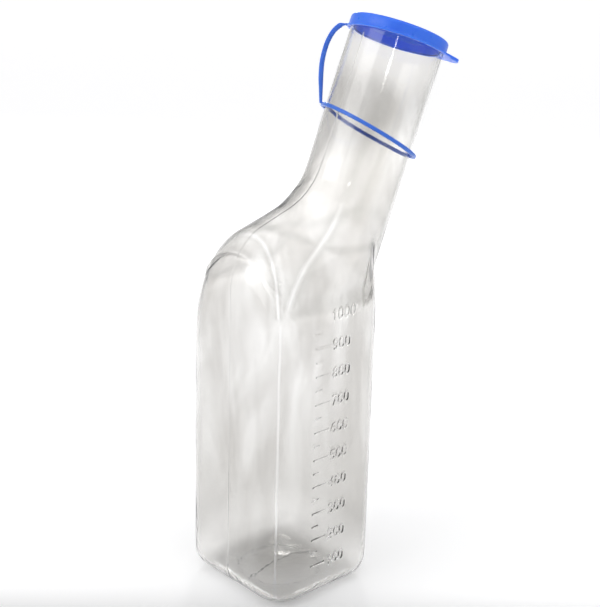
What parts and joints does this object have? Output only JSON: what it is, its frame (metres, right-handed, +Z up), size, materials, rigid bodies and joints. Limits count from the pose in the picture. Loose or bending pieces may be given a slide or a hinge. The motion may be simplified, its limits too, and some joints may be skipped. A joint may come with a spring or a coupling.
{
  "type": "urinal bottle",
  "caption": "Clear rounded-square bottle with raised volume lines, an arched shoulder, a slanted round neck and a tethered snap lid, for collecting urine in bed.",
  "frame": {"origin": "bottom centre of the whole object's bounding box, in the plane the bottle stands on", "axes": "+Z up; +X the way the neck leans; -Y the wall with the volume scale"},
  "size_m": [0.1485, 0.0855, 0.3207],
  "materials": {
    "clear_plastic": "gloss",
    "blue_plastic": "satin"
  },
  "bodies": {
    "bottle": {"bottle": "clear_plastic", "volume_scale": "clear_plastic"},
    "tether": {"neck_ring": "blue_plastic", "strap": "blue_plastic"},
    "lid": {"lid": "blue_plastic"}
  },
  "joints": [
    {"name": "tether_turn", "type": "hinge", "parent": "bottle", "child": "tether", "pos_m": [0.0088, 0, 0.2146], "axis": [0.3827, 0, 0.9239], "continuous": true},
    {"name": "lid_hinge", "type": "hinge", "parent": "tether", "child": "lid", "pos_m": [0.02586, 0.02142, 0.31177], "axis": [-0.6533, -0.7071, 0.2706], "range_deg": [0, 112]}
  ]
}
